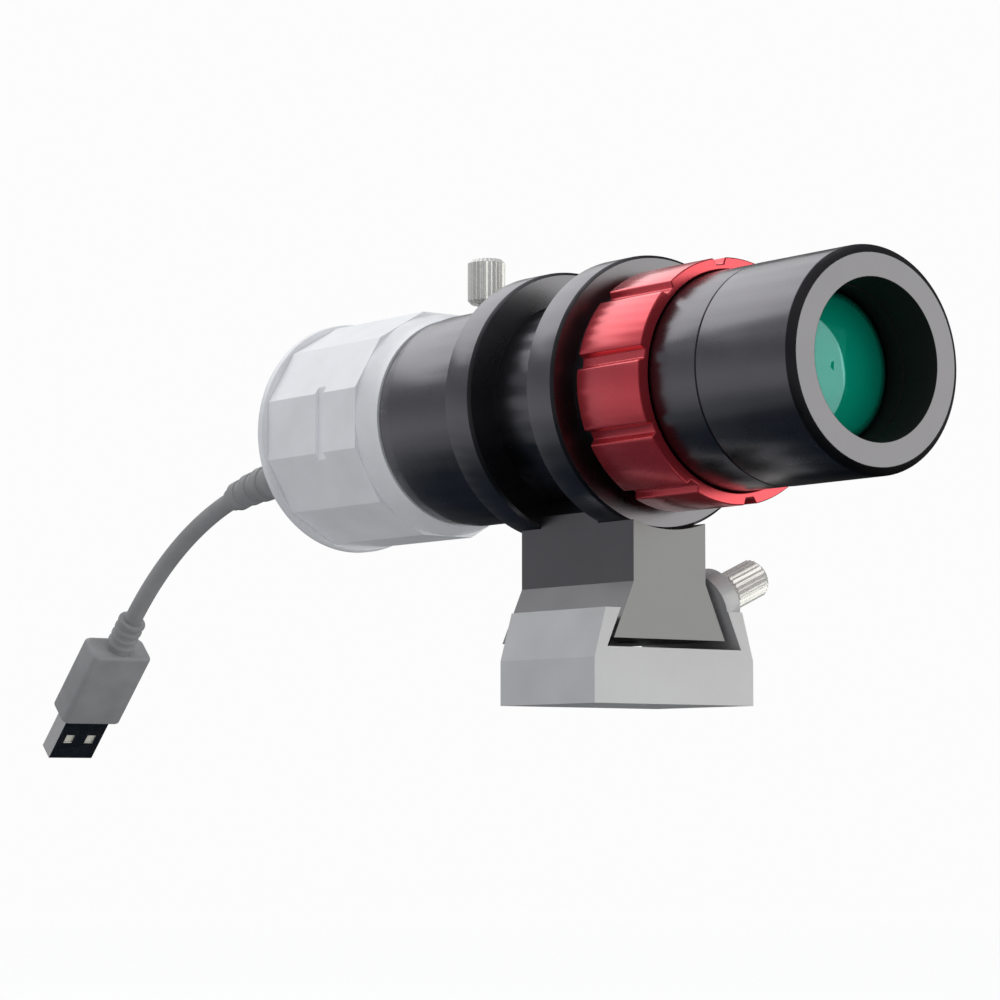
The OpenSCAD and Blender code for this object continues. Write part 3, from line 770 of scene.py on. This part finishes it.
CENTRE = (cad_box[0] + cad_box[1]) / 2
FLOOR_DROP = 0.11
FLOOR_RADIUS = 3.0
FLOOR_SHADING = 0.25
# The floor is solid within the first share of its radius and clear beyond the second
FLOOR_FADE = (0.15, 0.8)
PALE = (0.96, 0.96, 0.96)
BACKDROP_STRENGTH = 1.02
FILL_COLOUR = (0.96, 0.975, 1.0)
# Strength of the even fill from below and from above
FILL_STRENGTH = (0.42, 0.78)
# Bands of the room that polished parts mirror: height from -1 (down) to 1 (up), and colour
ROOM_BANDS = (
    (-1.0, (0.02, 0.03, 0.045)),
    (-0.5, (0.03, 0.04, 0.055)),
    (-0.36, (0.17, 0.18, 0.19)),
    (-0.1, (0.42, 0.42, 0.44)),
    (0.04, (0.34, 0.34, 0.36)),
    (0.2, (0.22, 0.22, 0.24)),
    (1.0, (0.5, 0.5, 0.52)),
)
# The room darkens towards +Y and towards +X: where it begins and ends, and the brightness there
SIDE_SHADE = (0.1, 0.55, 1.0, 0.12)
FRONT_SHADE = (0.05, 0.45, 1.0, 0.15)


def floor():
    """Pale floor that fades into the backdrop, so no horizon line shows."""
    mesh = bpy.data.meshes.new("floor")
    body = bmesh.new()
    bmesh.ops.create_circle(body, cap_ends=True, radius=FLOOR_RADIUS, segments=64)
    body.to_mesh(mesh)
    body.free()
    made = bpy.data.objects.new("floor", mesh)
    bpy.context.scene.collection.objects.link(made)
    made.location = (CENTRE.x, CENTRE.y, cad_box[0].z - FLOOR_DROP)
    finish = Finish("pale_floor")
    finish.set(Base_Color=tuple(FLOOR_SHADING * level for level in PALE), Roughness=0.8)
    finish.set(Emission_Color=PALE, Emission_Strength=1.0 - 0.8 * FLOOR_SHADING)
    radius = finish.vector("LENGTH", finish.position)
    fade = finish.remap(radius, FLOOR_RADIUS * FLOOR_FADE[0], FLOOR_RADIUS * FLOOR_FADE[1])
    clear = finish.node("ShaderNodeBsdfTransparent")
    finish.show(finish.choose(fade, finish.shader.outputs["BSDF"], clear.outputs["BSDF"]))
    mesh.materials.append(finish.material)
    made.visible_diffuse = False
    made.visible_glossy = False
    made.visible_transmission = False


def softbox(name, direction, distance, size, radiance, colour=(1, 1, 1)):
    """Square or oblong soft light that faces the object from a direction."""
    data = bpy.data.lights.new(name, "AREA")
    data.shape = "RECTANGLE"
    data.size, data.size_y = size
    data.energy = radiance * math.pi * size[0] * size[1]
    data.color = colour
    made = bpy.data.objects.new(name, data)
    bpy.context.scene.collection.objects.link(made)
    away = Vector(direction).normalized()
    made.location = CENTRE + away * distance
    made.rotation_mode = "QUATERNION"
    made.rotation_quaternion = away.to_track_quat("Z", "Y")
    made.visible_camera = False


def studio_world():
    """Backdrop for the camera, even fill for matt surfaces and a graded room for reflections."""
    world = bpy.data.worlds.new("studio")
    bpy.context.scene.world = world
    world.use_nodes = True
    room = Shading(world.node_tree)
    forward, sideways, upward = room.split(room.node("ShaderNodeTexCoord").outputs["Generated"])

    def background(colour, strength):
        made = room.node("ShaderNodeBackground")
        room.feed(made.inputs["Color"], colour)
        room.feed(made.inputs["Strength"], strength)
        return made.outputs[0]

    bands = room.node("ShaderNodeValToRGB")
    room.join(room.remap(upward, -1.0, 1.0), bands.inputs["Fac"])
    stops = bands.color_ramp.elements
    while len(stops) < len(ROOM_BANDS):
        stops.new(0.5)
    for stop, (height, colour) in zip(stops, ROOM_BANDS):
        stop.position = (height + 1) / 2
        stop.color = (*colour, 1)
    dimming = room.math("MULTIPLY", room.remap(sideways, *SIDE_SHADE), room.remap(forward, *FRONT_SHADE))
    rays = room.node("ShaderNodeLightPath")
    even = background(FILL_COLOUR, room.remap(upward, -1.0, 1.0, *FILL_STRENGTH))
    lit = room.choose(rays.outputs["Is Glossy Ray"], even, background(bands.outputs[0], dimming))
    seen = room.choose(rays.outputs["Is Camera Ray"], lit, background(PALE, BACKDROP_STRENGTH))
    room.join(seen, room.node("ShaderNodeOutputWorld").inputs["Surface"])


floor()
studio_world()
softbox("overhead_back", direction=(-0.69, 0.0, 0.74), distance=1.0, size=(1.2, 0.7), radiance=1.05)
softbox(
    "front_right", direction=(0.78, 0.62, 0.05), distance=1.0, size=(0.85, 0.8), radiance=1.55,
    colour=(1.0, 1.0, 0.955))
softbox("top_fill", direction=(0.0, -0.45, 1.0), distance=1.1, size=(0.7, 0.7), radiance=0.35)


# ---------------------------------------------------------------- camera

CAMERA_AZIMUTH = math.radians(51.45)
CAMERA_ELEVATION = math.radians(0.27)
CAMERA_PLACE = Vector((0.5142, -0.4156, -0.0177))
FRAME_MARGIN = 1.09
FILM_WIDTH = 36


def main_camera():
    """Camera at a fixed place, aimed and zoomed so that the object fills the frame."""
    points = np.concatenate([np.array([v.co for v in node.data.vertices]) for node in NODES.values()])
    turn, rise = CAMERA_AZIMUTH, CAMERA_ELEVATION
    back = np.array((math.sin(turn) * math.cos(rise), -math.cos(turn) * math.cos(rise), math.sin(rise)))
    right = np.array((math.cos(turn), math.sin(turn), 0))
    up = np.cross(back, right)
    offset = points - np.array(CAMERA_PLACE)
    depth = -offset @ back
    spread = np.stack([offset @ right / depth, offset @ up / depth])
    low, high = spread.min(1), spread.max(1)
    middle = (low + high) / 2
    aim = -back + right * middle[0] + up * middle[1]
    data = bpy.data.cameras.new("camera")
    data.sensor_width = FILM_WIDTH
    data.lens = FILM_WIDTH / ((high - low).max() * FRAME_MARGIN)
    data.clip_start = 0.01
    made = bpy.data.objects.new("camera", data)
    bpy.context.scene.collection.objects.link(made)
    made.location = CAMERA_PLACE
    made.rotation_mode = "QUATERNION"
    made.rotation_quaternion = Vector(aim).to_track_quat("-Z", "Y")
    bpy.context.scene.camera = made


main_camera()
bpy.context.scene.view_settings.view_transform = "Standard"
